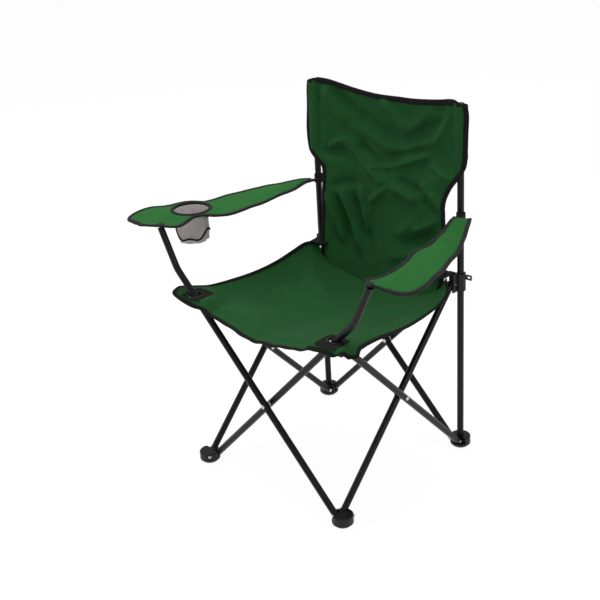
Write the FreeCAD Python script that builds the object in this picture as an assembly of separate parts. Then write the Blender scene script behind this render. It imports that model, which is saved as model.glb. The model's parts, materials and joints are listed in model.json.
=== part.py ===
import FreeCAD, Part
import math
import os

V = FreeCAD.Vector
X_AXIS, Y_AXIS, Z_AXIS = V(1, 0, 0), V(0, 1, 0), V(0, 0, 1)

# Folding camp chair: four crossed pairs of round steel tube between four feet,
# two front hubs and two rear sliders, with a fabric seat, back and arms.
# Millimetres, +Z up, front towards -Y. The origin is on the ground, under the
# middle of the box around the open chair.

# ---- driving dimensions ----
tube_d = 16.0               # every steel tube
tube_wall = 1.2
pin_half_span = 204.0       # middle of a side to a tube's end pin, chair open
pin_rise = 420.0            # foot pins up to hub and slider pins, chair open
foot_pin_z = 20.0
washer_t = 1.6
washer_d = 15.0
washer_play = 0.2           # each side of a crossing washer
rivet_d = 5.0
rivet_play = 0.05           # radial, rivet in a tube
head_d = 10.0
head_t = 1.6
head_play = 0.3             # rivet head to a moving tube

foot_d = 50.0
foot_h = 27.0
foot_taper_h = 6.0
foot_taper_in = 6.0
wall_gap = 0.5              # moving tube to the plastic beside it
wall_t = 4.7                # plastic wall that holds a pin

upright_top_z = 866.0
upright_clear = 1.7         # upright to the end of a tube beside it
upright_inset = 4.0         # upright outside the middle of a crossed pair, each way
upright_socket_z = 4.0
cap_t = 4.0

slider_up = 24.0            # sleeve above its pins
slider_down = 19.0
sleeve_d = 25.0
sleeve_play = 0.35
pull_reach = 15.0           # finger loop beyond the sleeve
pull_t = 4.0
pull_h = 12.0
pull_rim = 3.0

hub_up = 11.0
hub_down = 15.0

post_run = 93.0             # hub pin to the bend of an arm post, along the tube
post_bend = 18.5            # degrees
post_upper = 104.0
post_bend_r = 60.0
tip_cap_h = 5.0

fabric_t = 3.0
rest_gap = 0.3              # between a soft piece and what carries it
arm_rear_left_z = 618.0
arm_rear_right_z = 604.0
arm_out = 428.0             # outer front corner of an arm, from the middle
arm_front_in = 292.0
arm_front_y = 222.0
arm_corner = 26.0           # the outer front corner lies this far behind the inner one
arm_mid_out = 342.0
arm_mid_in = 268.0
arm_mid_y = 10.0
arm_rear_w = 34.0
loop_h = 23.0
loop_t = 1.5
loop_gap = 0.3

cup_ring_d = 92.0
cup_ring_tube = 6.0
cup_x = 327.0
cup_y = 118.0
cup_depth = 76.0
cup_wall = 2.0
cup_taper = 6.0

seat_sag = 58.0
patch_w = 62.0              # corner patch across the chair
patch_d = 58.0              # and front to back
patch_t = 2.0
eyelet_play = 0.4           # around a post, from open to folded
eyelet_rim = 1.5
eyelet_t = 3.0
strap_in = 48.0             # strap of a rear seat corner, inwards from its slider
back_top_z = 872.0
back_side_gap = 1.7         # between the back fabric and an upright, across the chair
back_taper = 24.0           # each side, top to bottom
back_top_gap = 2.0
back_lean = 48.0            # how far the foot of the back comes forward

# ---- values that follow ----
tube_r = tube_d / 2
layer = tube_r + washer_t / 2 + washer_play
upright_at = pin_half_span + tube_d + upright_clear
frame_half = upright_at - upright_inset     # to the plane between two crossed tubes
inner = frame_half - layer          # axis of the tube nearer the middle
outer = frame_half + layer
top_pin_z = foot_pin_z + pin_rise
mid_pin_z = foot_pin_z + pin_rise / 2
tube_angle = math.degrees(math.atan2(pin_rise, 2 * pin_half_span))
rivet_r = rivet_d / 2
hole_r = rivet_r + rivet_play
head_r = head_d / 2
inner_wall = inner + tube_r + wall_gap      # plastic face outside an inner tube
outer_wall = outer - tube_r - wall_gap      # plastic face inside an outer tube
end_clear = pin_half_span + tube_r + wall_gap
hub_reach = pin_half_span - head_r - wall_t
hub_top = top_pin_z + hub_up
slider_top = top_pin_z + slider_up
foot_base_h = foot_pin_z - tube_r - wall_gap
back_half = upright_at - tube_r - back_side_gap

# an eyelet's opening spans its post from upright (folded) to leaning out (open)
eyelet_top = hub_top + rest_gap + eyelet_t - top_pin_z
lean_out = eyelet_top / math.tan(math.radians(tube_angle)) + tube_r / math.sin(math.radians(tube_angle))
eyelet_at = (lean_out - tube_r) / 2
eyelet_r = (lean_out + tube_r) / 2 + eyelet_play
back_bottom_z = slider_top + patch_t + 2 * rest_gap

os.makedirs("parts", exist_ok=True)


def save(name, shape):
    """Write one sub-part as a STEP file."""
    shape.exportStep("parts/" + name + ".step")


def box(x0, x1, y0, y1, z0, z1):
    """Box between two corners, given in any order."""
    x0, x1 = min(x0, x1), max(x0, x1)
    y0, y1 = min(y0, y1), max(y0, y1)
    return Part.makeBox(x1 - x0, y1 - y0, z1 - z0, V(x0, y0, z0))


def rod(start, end, radius):
    """Round rod from one point to another."""
    run = end.sub(start)
    return Part.makeCylinder(radius, run.Length, start, run)


def turned(shape, quarter):
    """Copy of a shape made for the front left corner or front side, moved on by quarters."""
    copy = shape.copy()
    copy.rotate(V(0, 0, 0), Z_AXIS, 90 * quarter)
    return copy


def clean(shape):
    """Merge split faces and give back a single solid where there is one."""
    shape = shape.removeSplitter()
    return shape.Solids[0] if len(shape.Solids) == 1 else shape


# ---- tubes, made on the front side ----
def pin_hole(x, y, z):
    """Cross hole through a front tube for a rivet along Y."""
    return rod(V(x, y - tube_d, z), V(x, y + tube_d, z), hole_r)


def cross_tube(side, y):
    """Straight tube from the foot at x = side * span up to the other end, rounded at both."""
    low = V(side * pin_half_span, y, foot_pin_z)
    high = V(-side * pin_half_span, y, top_pin_z)
    body = rod(low, high, tube_r).fuse([Part.makeSphere(tube_r, p) for p in (low, high)])
    run = high.sub(low).normalize() * tube_d
    bore = rod(low.sub(run), high.add(run), tube_r - tube_wall)
    holes = [pin_hole(low.x, y, foot_pin_z), pin_hole(0, y, mid_pin_z), pin_hole(high.x, y, top_pin_z)]
    return clean(body.cut([bore] + holes))


def post_points(side, y):
    """Foot pin, bend and tip of a front tube that carries on as an arm post."""
    lean = math.radians(tube_angle)
    steep = math.radians(tube_angle + post_bend)
    low = V(side * pin_half_span, y, foot_pin_z)
    run = math.hypot(2 * pin_half_span, pin_rise) + post_run
    bend = low.add(V(-side * math.cos(lean), 0, math.sin(lean)) * run)
    tip = bend.add(V(-side * math.cos(steep), 0, math.sin(steep)) * post_upper)
    return low, bend, tip


def bent_path(low, bend, tip):
    """Line, arc and line through a bend of post_bend_r."""
    back = low.sub(bend).normalize()
    on = tip.sub(bend).normalize()
    cut = post_bend_r * math.tan(math.radians(post_bend) / 2)
    a, b = bend.add(back * cut), bend.add(on * cut)
    to_centre = back.add(on).normalize()
    centre = bend.add(to_centre * (post_bend_r / math.cos(math.radians(post_bend) / 2)))
    middle = centre.sub(to_centre * post_bend_r)
    edges = [Part.LineSegment(low, a).toShape(), Part.Arc(a, middle, b).toShape(),
             Part.LineSegment(b, tip).toShape()]
    return Part.Wire(edges)


def swept(path, start, direction, radius):
    """Round bar along a path."""
    ring = Part.Wire([Part.makeCircle(radius, start, direction)])
    return path.makePipeShell([ring], True, True)


def front_tube(side, y):
    """Long front tube: foot, crossing, hub, bend and arm post."""
    low, bend, tip = post_points(side, y)
    direction = bend.sub(low).normalize()
    body = swept(bent_path(low, bend, tip), low, direction, tube_r)
    body = body.fuse(Part.makeSphere(tube_r, low))
    bore_low = low.sub(direction * tube_d)
    bore_tip = tip.add(tip.sub(bend).normalize() * tube_d)
    bore = swept(bent_path(bore_low, bend, bore_tip), bore_low, direction, tube_r - tube_wall)
    holes = [pin_hole(low.x, y, foot_pin_z), pin_hole(0, y, mid_pin_z),
             pin_hole(-low.x, y, top_pin_z)]
    return clean(body.cut([bore] + holes)), tip


inner_post, inner_tip = front_tube(-1, -inner)
outer_post, outer_tip = front_tube(1, -outer)
save("front_tube_right_post", inner_post)
save("front_tube_left_post", outer_post)
for side_name, quarter in (("right", 1), ("rear", 2), ("left", 3)):
    save(side_name + "_tube_inner", turned(cross_tube(-1, -inner), quarter))
    save(side_name + "_tube_outer", turned(cross_tube(1, -outer), quarter))


# ---- crossing rivets and washers, made on the front side ----
def crossing_rivet():
    """Rivet through both crossed tubes, with a domed head each side."""
    y0 = -outer - tube_r - head_play
    y1 = -inner + tube_r + head_play
    shank = rod(V(0, y0, mid_pin_z), V(0, y1, mid_pin_z), rivet_r)
    heads = [rod(V(0, y0, mid_pin_z), V(0, y0 - head_t, mid_pin_z), head_r),
             rod(V(0, y1, mid_pin_z), V(0, y1 + head_t, mid_pin_z), head_r)]
    whole = clean(shank.fuse(heads))
    ends = (y0 - head_t, y1 + head_t)
    rims = [e for e in whole.Edges if any(abs(e.BoundBox.YMax - y) < 0.01 for y in ends)]
    return whole.makeFillet(head_t * 0.8, rims)


def crossing_washer():
    """Spacer washer between the two crossed tubes."""
    y0 = -frame_half - washer_t / 2
    disc = rod(V(0, y0, mid_pin_z), V(0, y0 + washer_t, mid_pin_z), washer_d / 2)
    hole = rod(V(0, y0 - 1, mid_pin_z), V(0, y0 + washer_t + 1, mid_pin_z), rivet_r)
    return disc.cut(hole)


for quarter, side_name in enumerate(("front", "right", "rear", "left")):
    save("crossing_rivet_" + side_name, turned(crossing_rivet(), quarter))
    save("crossing_washer_" + side_name, turned(crossing_washer(), quarter))


# ---- feet, made at the front left corner ----
def foot(with_socket):
    """Moulded foot: tapered base, and a wall behind each of its two tubes."""
    centre = V(-upright_at, -upright_at, 0)
    taper = Part.makeCone(foot_d / 2 - foot_taper_in, foot_d / 2, foot_taper_h, centre)
    block = Part.makeCylinder(foot_d / 2, foot_h - foot_taper_h, centre.add(V(0, 0, foot_taper_h)))
    body = clean(taper.fuse(block))
    top = [e for e in body.Edges if e.BoundBox.ZMin > foot_h - 0.01 and e.BoundBox.ZLength < 0.01]
    body = body.makeFillet(2.5, top)
    far = upright_at + foot_d
    outer_room = box(-far, -outer_wall, -end_clear, 0, foot_base_h, foot_h + 1)
    inner_room = box(-end_clear, 0, -inner_wall, 0, foot_base_h, foot_h + 1)
    shape = body.cut([outer_room, inner_room, foot_rivet_inner(), foot_rivet_outer()])
    if with_socket:
        shape = shape.cut(Part.makeCylinder(tube_r, foot_h, centre.add(V(0, 0, upright_socket_z))))
    return clean(shape)


def foot_rivet_inner():
    """Rivet along Y through the foot's front wall and the inner tube."""
    x, z = -pin_half_span, foot_pin_z
    rel = x + upright_at
    skin = -upright_at - math.sqrt((foot_d / 2) ** 2 - rel ** 2)
    inside = -inner + tube_r + head_play
    shank = rod(V(x, skin - head_t, z), V(x, inside, z), rivet_r)
    heads = [rod(V(x, skin - head_t, z), V(x, skin + 3 * head_t, z), head_r * 0.7),
             rod(V(x, inside, z), V(x, inside + head_t, z), head_r * 0.8)]
    return clean(shank.fuse(heads))


def foot_rivet_outer():
    """Rivet along X through the outer tube into the wall inside it."""
    y, z = -pin_half_span, foot_pin_z
    outside = -outer - tube_r - head_play
    shank = rod(V(outside, y, z), V(-end_clear - 0.4, y, z), rivet_r)
    head = rod(V(outside, y, z), V(outside - head_t, y, z), head_r * 0.8)
    return clean(shank.fuse(head))


corners = (("front_left", 0), ("front_right", 1), ("rear_right", 2), ("rear_left", 3))
for corner_name, quarter in corners:
    save("foot_" + corner_name, turned(foot(corner_name.startswith("rear")), quarter))
    pair = Part.Compound([foot_rivet_inner(), foot_rivet_outer()])
    save("foot_rivets_" + corner_name, turned(pair, quarter))


# ---- uprights, made at the front left corner and turned to the rear ----
def upright():
    """Straight tube that stands in a rear foot."""
    at = V(-upright_at, -upright_at, upright_socket_z)
    length = upright_top_z - upright_socket_z
    return Part.makeCylinder(tube_r, length, at).cut(Part.makeCylinder(tube_r - tube_wall, length, at))


def upright_cap():
    """Plastic cap on top of an upright, with a plug inside the tube."""
    at = V(-upright_at, -upright_at, upright_top_z)
    dome = Part.makeCylinder(tube_r + 0.6, cap_t, at)
    top = [e for e in dome.Edges if e.BoundBox.ZMin > upright_top_z + cap_t - 0.01]
    dome = dome.makeFillet(cap_t * 0.6, top)
    plug = Part.makeCylinder(tube_r - tube_wall, 12, at.sub(V(0, 0, 12)))
    return clean(dome.fuse(plug))


def bracket(z0, z1):
    """Two walls at right angles that hold the pins of an inner and an outer tube end."""
    front = box(-inner_wall - wall_t, -hub_reach, -outer_wall, -outer_wall + wall_t, z0, z1)
    side = box(-inner_wall - wall_t, -inner_wall, -outer_wall, -hub_reach, z0, z1)
    return front.fuse(side)


def end_rivets():
    """Rivets of an upper corner: along X in the inner tube, along Y in the outer tube."""
    s, z = pin_half_span, top_pin_z
    inside = -inner + tube_r + head_play
    a = rod(V(-inner_wall - wall_t, -s, z), V(inside, -s, z), rivet_r)
    a = a.fuse(rod(V(inside, -s, z), V(inside + head_t, -s, z), head_r * 0.8))
    outside = -outer - tube_r - head_play
    b = rod(V(-s, outside, z), V(-s, -outer_wall + wall_t, z), rivet_r)
    b = b.fuse(rod(V(-s, outside, z), V(-s, outside - head_t, z), head_r * 0.8))
    return Part.Compound([clean(a), clean(b)])


def slider():
    """Sleeve that runs on an upright and holds the upper ends of two tubes."""
    z0, z1 = top_pin_z - slider_down, top_pin_z + slider_up
    at = V(-upright_at, -upright_at, z0)
    body = Part.makeCylinder(sleeve_d / 2, z1 - z0, at).fuse(bracket(z0, z1))
    far = upright_at + sleeve_d
    outer_room = box(-end_clear, 0, -far, -outer_wall, z0 - 1, z1 + 1)
    inner_room = box(-inner_wall, 0, -end_clear, 0, z0 - 1, z1 + 1)
    keep = bracket(z0, z1)
    body = body.cut([outer_room, inner_room]).fuse(keep)
    bore = Part.makeCylinder(tube_r + sleeve_play, z1 - z0 + 2, at.sub(V(0, 0, 1)))
    return clean(body.cut([bore] + end_rivets().Solids))


def pull_loop():
    """Finger loop on the outer corner of a slider."""
    z0 = top_pin_z + slider_up / 2 - pull_h / 2
    start = upright_at + sleeve_d / 2 / math.sqrt(2)
    ring = box(-start - pull_reach, -start, -start - pull_t, -start, z0, z0 + pull_h)
    hole = box(-start - pull_reach + pull_rim, -start - pull_rim, -start - pull_t, -start,
               z0 + pull_rim, z0 + pull_h - pull_rim)
    return clean(ring.cut(hole))


for side_name, quarter in (("right", 2), ("left", 3)):
    save("upright_" + side_name, turned(upright(), quarter))
    save("upright_cap_" + side_name, turned(upright_cap(), quarter))
    save("slider_" + side_name, turned(slider(), quarter))
    save("slider_rivets_" + side_name, turned(end_rivets(), quarter))
    save("slider_pull_" + side_name, turned(pull_loop(), quarter))


# ---- front hubs ----
def hub_left():
    """Angle bracket: the left post tube passes in front of it and runs on upwards."""
    body = bracket(top_pin_z - hub_down, top_pin_z + hub_up)
    return clean(body.cut(end_rivets().Solids))


def hub_right_rivets():
    """Rivet along Y in the right post tube and along X in the outer tube of the right side."""
    s, z = pin_half_span, top_pin_z
    inside = -inner + tube_r + head_play
    a = rod(V(s, -inner_wall - wall_t, z), V(s, inside, z), rivet_r)
    a = a.fuse(rod(V(s, inside, z), V(s, inside + head_t, z), head_r * 0.8))
    b = rod(V(outer - tube_r + head_play, -s, z), V(outer + tube_r + wall_gap + wall_t, -s, z), rivet_r)
    return Part.Compound([clean(a), b])


def hub_right():
    """Angle bracket: it passes in front of the right post and outside the end of the side tube."""
    z0, z1 = top_pin_z - hub_down, top_pin_z + hub_up
    side_face = outer + tube_r + wall_gap
    front = box(hub_reach, side_face + wall_t, -inner_wall - wall_t, -inner_wall, z0, z1)
    side = box(side_face, side_face + wall_t, -inner_wall - wall_t, -hub_reach, z0, z1)
    return clean(front.fuse(side).cut(hub_right_rivets().Solids))


save("hub_front_left", hub_left())
save("hub_rivets_front_left", end_rivets())
save("hub_front_right", hub_right())
save("hub_rivets_front_right", hub_right_rivets())


# ---- arm fittings ----
post_steep = math.radians(tube_angle + post_bend)
cap_z = inner_tip.z + tube_r * math.cos(post_steep) + 0.1
arm_z = cap_z + tip_cap_h + rest_gap


def tip_cap(tip):
    """Cap that the arm fabric turns on, over the open end of a post."""
    return Part.makeCylinder(tube_r, tip_cap_h, V(tip.x, tip.y, cap_z))


save("arm_cap_right", tip_cap(inner_tip))
save("arm_cap_left", tip_cap(outer_tip))


def fabric_edge(a, b):
    """Closed outline of the fabric's thickness above the line from a to b."""
    up = V(0, 0, fabric_t)
    return Part.makePolygon([a, b, b.add(up), a.add(up), a])


def arm_panel(side, rear_z):
    """Arm fabric: a flat plate at the front, and a tail that narrows to the upright."""
    joint = [(arm_mid_out, arm_mid_y), (arm_mid_in, arm_mid_y)]
    front = [(arm_front_in, -arm_front_y), (arm_out, -arm_front_y + arm_corner)] + joint
    flat = Part.makePolygon([V(side * x, y, arm_z) for x, y in front + front[:1]])
    plate = Part.Face(flat).extrude(V(0, 0, fabric_t))
    rear = upright_at - tube_r - loop_gap - loop_t - rest_gap
    near_edge = fabric_edge(*[V(side * x, y, arm_z) for x, y in joint])
    far_edge = fabric_edge(*[V(side * (upright_at + across), rear, rear_z)
                             for across in (arm_rear_w / 2, -arm_rear_w / 2)])
    return plate, Part.makeLoft([near_edge, far_edge], True, True)


def arm(side, rear_z):
    """Whole arm fabric, with the cup hole where this side has one."""
    plate, tail = arm_panel(side, rear_z)
    if side < 0:
        hole = Part.makeCylinder(cup_ring_d / 2 + loop_gap, 4 * fabric_t, V(-cup_x, -cup_y, arm_z - fabric_t))
        plate = plate.cut(hole)
    return clean(plate.fuse(tail))


def arm_loop(side, rear_z):
    """Webbing loop round an upright that holds the rear end of an arm."""
    at = V(side * upright_at, upright_at, rear_z - loop_h / 2)
    ring = Part.makeCylinder(tube_r + loop_gap + loop_t, loop_h, at)
    return ring.cut(Part.makeCylinder(tube_r + loop_gap, loop_h, at))


save("arm_right", arm(1, arm_rear_right_z))
save("arm_left", arm(-1, arm_rear_left_z))
save("arm_loop_right", arm_loop(1, arm_rear_right_z))
save("arm_loop_left", arm_loop(-1, arm_rear_left_z))


# ---- cup holder in the left arm ----
def cup_ring():
    """Hoop that holds the mouth of the cup pouch open."""
    r = cup_ring_tube / 2
    return Part.makeTorus(cup_ring_d / 2 - r, r, V(-cup_x, -cup_y, arm_z + fabric_t / 2))


def cup_pouch():
    """Open mesh bag below the hoop."""
    top_r = (cup_ring_d - cup_ring_tube) / 2
    low_r = top_r - cup_taper
    rim_z = arm_z + fabric_t / 2 - cup_ring_tube / 2 - rest_gap
    at = V(-cup_x, -cup_y, rim_z - cup_depth)
    skin = Part.makeCone(low_r, top_r, cup_depth, at)
    hollow = Part.makeCone(low_r - cup_wall, top_r - cup_wall, cup_depth, at.add(V(0, 0, cup_wall)))
    return skin.cut(hollow)


save("cup_ring", cup_ring())
save("cup_pouch", cup_pouch())


# ---- seat and back fabric ----

def seat_section(y, half, top_z):
    """Hanging cross-section of the seat: two arcs a fabric thickness apart."""
    def arc(z):
        return Part.Arc(V(-half, y, z), V(0, y, z - seat_sag), V(half, y, z)).toShape()

    low_z = top_z - fabric_t
    sides = [Part.LineSegment(V(x, y, low_z), V(x, y, top_z)).toShape() for x in (-half, half)]
    return Part.Wire(Part.__sortEdges__([arc(low_z), arc(top_z)] + sides))


def seat():
    """Seat fabric, hung between the front hubs and the sliders."""
    half = hub_reach - wall_gap
    front_y = -(outer + tube_r + wall_gap)
    rear_y = upright_at - back_lean
    rings = [seat_section(front_y, half, hub_top), seat_section(0, half, hub_top),
             seat_section(rear_y, half, slider_top)]
    return Part.makeLoft(rings, True, False)


def back():
    """Back fabric, from its top pockets down to the rear hem of the seat."""
    top_y = upright_at - tube_r - fabric_t - back_top_gap
    low_y = upright_at - back_lean
    waist = back_half - back_taper
    outline = [V(-back_half, top_y, back_top_z), V(back_half, top_y, back_top_z),
               V(waist, low_y, back_bottom_z), V(-waist, low_y, back_bottom_z)]
    face = Part.Face(Part.makePolygon(outline + outline[:1]))
    return face.extrude(V(0, fabric_t, 0))


def post_hole(side, radius, z, height):
    """Round opening on a front corner that an arm post swings in."""
    y = inner if side > 0 else outer
    return Part.makeCylinder(radius, height, V(side * (pin_half_span + eyelet_at), -y, z))


def corner_patch(side):
    """Reinforcing patch on a front corner, with an opening for the post."""
    x = side * (pin_half_span + eyelet_at)
    y = -upright_at - foot_d / 2
    z = hub_top + rest_gap
    plate = box(x - patch_w / 2, x + patch_w / 2, y, y + patch_d, z, z + patch_t)
    return plate.cut(post_hole(side, eyelet_r + eyelet_rim + rest_gap, z, patch_t))


def eyelet(side):
    """Metal ring in a corner patch."""
    z = hub_top + rest_gap
    ring = post_hole(side, eyelet_r + eyelet_rim, z, eyelet_t)
    return ring.cut(post_hole(side, eyelet_r, z, eyelet_t))


def corner_strap():
    """Strap of a rear seat corner, on top of its slider; made at the front left corner."""
    side = upright_at - tube_r - sleeve_play - rest_gap
    z = slider_top + rest_gap
    return box(-side, -side + strap_in, -side, -side + strap_in, z, z + patch_t)


save("seat_panel", seat())
save("back_panel", back())
for side_name, side, quarter in (("right", 1, 2), ("left", -1, 3)):
    save("seat_patch_" + side_name, corner_patch(side))
    save("seat_eyelet_" + side_name, eyelet(side))
    save("seat_strap_" + side_name, turned(corner_strap(), quarter))
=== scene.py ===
# %% [markdown]
# # A folding camp chair
# The steel frame, its plastic joints and its rivets come ready made from the frame model. This script gives
# them their finish and makes everything that is cloth: seat, back, arms, tape, patches and the cup pouch.

# %% Load the frame
import bpy
import json
import math
import numpy as np
from mathutils import Matrix, Vector, noise


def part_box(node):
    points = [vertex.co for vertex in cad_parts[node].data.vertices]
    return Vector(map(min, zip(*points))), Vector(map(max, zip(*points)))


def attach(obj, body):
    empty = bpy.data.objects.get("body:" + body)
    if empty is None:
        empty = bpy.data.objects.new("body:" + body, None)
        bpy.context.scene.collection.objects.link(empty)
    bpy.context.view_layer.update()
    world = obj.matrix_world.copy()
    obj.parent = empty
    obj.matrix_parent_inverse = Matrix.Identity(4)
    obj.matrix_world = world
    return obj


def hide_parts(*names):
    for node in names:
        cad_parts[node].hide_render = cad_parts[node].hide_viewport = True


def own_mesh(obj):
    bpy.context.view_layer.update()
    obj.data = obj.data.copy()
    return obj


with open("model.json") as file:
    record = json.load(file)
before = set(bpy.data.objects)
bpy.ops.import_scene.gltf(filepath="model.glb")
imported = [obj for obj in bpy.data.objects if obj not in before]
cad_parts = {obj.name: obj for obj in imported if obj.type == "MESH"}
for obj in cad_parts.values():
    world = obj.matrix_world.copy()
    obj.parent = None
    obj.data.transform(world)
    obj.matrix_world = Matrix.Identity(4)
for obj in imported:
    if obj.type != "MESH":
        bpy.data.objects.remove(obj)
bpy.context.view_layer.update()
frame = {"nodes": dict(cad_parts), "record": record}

# %% [markdown]
# ## Camera
# The chair is seen from its front right, a little from above, by a long lens. The camera is set first, so
# that every later piece can be judged in it.

# %% Camera
AZIMUTH, ELEVATION, ROLL = map(math.radians, (44.88, 23.73, -3.42))
AIM = Vector((0, 0, 0.4))
OFFSET = Vector((-0.0671, 0.01375, 2.7331))     # camera from the aim point: right, up, back
LENS = 69.27                                    # millimetres, on a sensor 36 mm wide


def camera_axes():
    """Right, up and back directions of the camera."""
    sa, ca = math.sin(AZIMUTH), math.cos(AZIMUTH)
    se, ce = math.sin(ELEVATION), math.cos(ELEVATION)
    right, back = Vector((ca, sa, 0)), Vector((sa * ce, -ca * ce, se))
    up = back.cross(right)
    turn_c, turn_s = math.cos(ROLL), math.sin(ROLL)
    return right * turn_c + up * turn_s, up * turn_c - right * turn_s, back


axes = camera_axes()
place = AIM + sum((axis * size for axis, size in zip(axes, OFFSET)), Vector())
bpy.ops.object.camera_add(location=place)
camera = bpy.context.object
camera.rotation_mode = "QUATERNION"
camera.rotation_quaternion = Matrix(axes).transposed().to_quaternion()
camera.data.lens = LENS
bpy.context.scene.camera = camera
print("camera", tuple(round(v, 3) for v in place))

# %% [markdown]
# ## Floor and light
# A plain white floor runs up into a white surround. For the camera both are nearly their own light, so they
# stay white without any more light on the chair, and the floor still keeps a faint shadow.

# %% Floor, world and lamps
FLOOR_WHITE = 0.92
SHADOW_SHARE = 0.12         # how much of the floor's look is real light and shadow


def white_stage(material, share):
    """A matte white that camera and mirror rays see as mostly plain white."""
    material.use_nodes = True
    nodes, links = material.node_tree.nodes, material.node_tree.links
    nodes.clear()
    out = nodes.new("ShaderNodeOutputMaterial")
    lit = nodes.new("ShaderNodeBsdfDiffuse")
    lit.inputs["Color"].default_value = (FLOOR_WHITE,) * 3 + (1,)
    plain = nodes.new("ShaderNodeEmission")
    plain.inputs["Strength"].default_value = 1.06
    path = nodes.new("ShaderNodeLightPath")
    seen = nodes.new("ShaderNodeMath")
    seen.operation = "MAXIMUM"
    amount = nodes.new("ShaderNodeMath")
    amount.operation = "MULTIPLY"
    amount.inputs[1].default_value = 1 - share
    mix = nodes.new("ShaderNodeMixShader")
    links.new(path.outputs["Is Camera Ray"], seen.inputs[0])
    links.new(path.outputs["Is Glossy Ray"], seen.inputs[1])
    links.new(seen.outputs[0], amount.inputs[0])
    links.new(amount.outputs[0], mix.inputs["Fac"])
    links.new(lit.outputs[0], mix.inputs[1])
    links.new(plain.outputs[0], mix.inputs[2])
    links.new(mix.outputs[0], out.inputs["Surface"])


def white_world():
    """Soft light all round, seen as white."""
    world = bpy.data.worlds.new("surround")
    bpy.context.scene.world = world
    world.use_nodes = True
    nodes, links = world.node_tree.nodes, world.node_tree.links
    nodes.clear()
    out = nodes.new("ShaderNodeOutputWorld")
    soft, plain = nodes.new("ShaderNodeBackground"), nodes.new("ShaderNodeBackground")
    soft.inputs["Color"].default_value = (1, 1, 1, 1)
    soft.inputs["Strength"].default_value = WORLD_LIGHT
    plain.inputs["Color"].default_value = (1, 1, 1, 1)
    path, mix = nodes.new("ShaderNodeLightPath"), nodes.new("ShaderNodeMixShader")
    links.new(path.outputs["Is Camera Ray"], mix.inputs["Fac"])
    links.new(soft.outputs[0], mix.inputs[1])
    links.new(plain.outputs[0], mix.inputs[2])
    links.new(mix.outputs[0], out.inputs["Surface"])


def lamp(name, place, size, power):
    """A square soft lamp that looks at the middle of the chair."""
    bpy.ops.object.light_add(type="AREA", location=place)
    light = bpy.context.object
    light.name = name
    light.data.size = size
    light.data.energy = power
    light.rotation_mode = "QUATERNION"
    light.rotation_quaternion = (Vector(place) - AIM).to_track_quat("Z", "Y")
    return light


WORLD_LIGHT = 0.42
bpy.ops.object.select_all(action="DESELECT")
bpy.ops.mesh.primitive_plane_add(size=30, location=(0, 0, 0))
floor = bpy.context.object
floor.name = "floor"
floor_finish = bpy.data.materials.new("floor_white")
white_stage(floor_finish, SHADOW_SHARE)
floor.data.materials.append(floor_finish)
white_world()
lamp("overhead", (-0.5, 0.3, 3.0), 2.4, 62)
lamp("from_camera_left", (-2.2, -2.6, 1.9), 1.6, 26)
lamp("from_right", (2.8, -0.6, 1.6), 1.2, 16)
bpy.context.scene.view_settings.view_transform = "Standard"
print("stage ready")

# %% [markdown]
# ## Effects that several finishes share
# A weave, a cloudy unevenness and fine wear turn up in more than one material, so each is a node group with
# its own inputs. A group gives out only values and colours. The shader itself stays in each material.

# %% Node group helpers


def new_group(name, inputs, outputs):
    """An empty node group with the sockets that are asked for."""
    group = bpy.data.node_groups.new(name, "ShaderNodeTree")
    for label, kind, value in inputs:
        socket = group.interface.new_socket(name=label, in_out="INPUT", socket_type=kind)
        if value is not None:
            socket.default_value = value
    for label, kind in outputs:
        group.interface.new_socket(name=label, in_out="OUTPUT", socket_type=kind)
    return group, group.nodes.new("NodeGroupInput"), group.nodes.new("NodeGroupOutput")


def math_node(tree, operation, a, b=None, clamp=False):
    """A Math node fed with sockets or plain numbers; gives its output socket."""
    node = tree.nodes.new("ShaderNodeMath")
    node.operation = operation
    node.use_clamp = clamp
    for slot_index, value in enumerate((a, b)):
        if value is None:
            continue
        if isinstance(value, (int, float)):
            node.inputs[slot_index].default_value = value
        else:
            tree.links.new(value, node.inputs[slot_index])
    return node.outputs[0]


def noise_node(tree, vector, scale, detail=3.0, roughness=0.5):
    """A noise texture; gives its value socket."""
    node = tree.nodes.new("ShaderNodeTexNoise")
    node.inputs["Detail"].default_value = detail
    node.inputs["Roughness"].default_value = roughness
    if isinstance(scale, (int, float)):
        node.inputs["Scale"].default_value = scale
    else:
        tree.links.new(scale, node.inputs["Scale"])
    tree.links.new(vector, node.inputs["Vector"])
    return node.outputs["Fac"]


# %% Weave group: over-and-under threads, from a UV map in metres


def weave_group():
    """Plain weave. Height is the thread relief; the gap value is high between the threads, where the cloth
    paints shade into its colour and the netting lets light through.
    """
    group, given, result = new_group(
        "weave", [("Vector", "NodeSocketVector", None), ("Pitch", "NodeSocketFloat", 0.0008)],
        [("Height", "NodeSocketFloat"), ("GapAndShade", "NodeSocketFloat")])
    split = group.nodes.new("ShaderNodeSeparateXYZ")
    group.links.new(given.outputs["Vector"], split.inputs[0])
    turn = math_node(group, "DIVIDE", math.pi, given.outputs["Pitch"])
    across = math_node(group, "MULTIPLY", split.outputs["X"], turn)
    along = math_node(group, "MULTIPLY", split.outputs["Y"], turn)
    sin_x = math_node(group, "SINE", across)
    sin_y = math_node(group, "SINE", along)
    over = math_node(group, "MULTIPLY", sin_x, sin_y)
    round_x = math_node(group, "ABSOLUTE", sin_x)
    round_y = math_node(group, "ABSOLUTE", sin_y)
    thread = math_node(group, "MULTIPLY", round_x, round_y)
    height = math_node(group, "MULTIPLY_ADD", over, 0.5)
    group.nodes[-1].inputs[2].default_value = 0.5
    total = math_node(group, "ADD", height, thread)
    group.links.new(math_node(group, "MULTIPLY", total, 0.5), result.inputs["Height"])
    group.links.new(math_node(group, "SUBTRACT", 1.0, thread, clamp=True), result.inputs["GapAndShade"])
    return group


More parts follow.
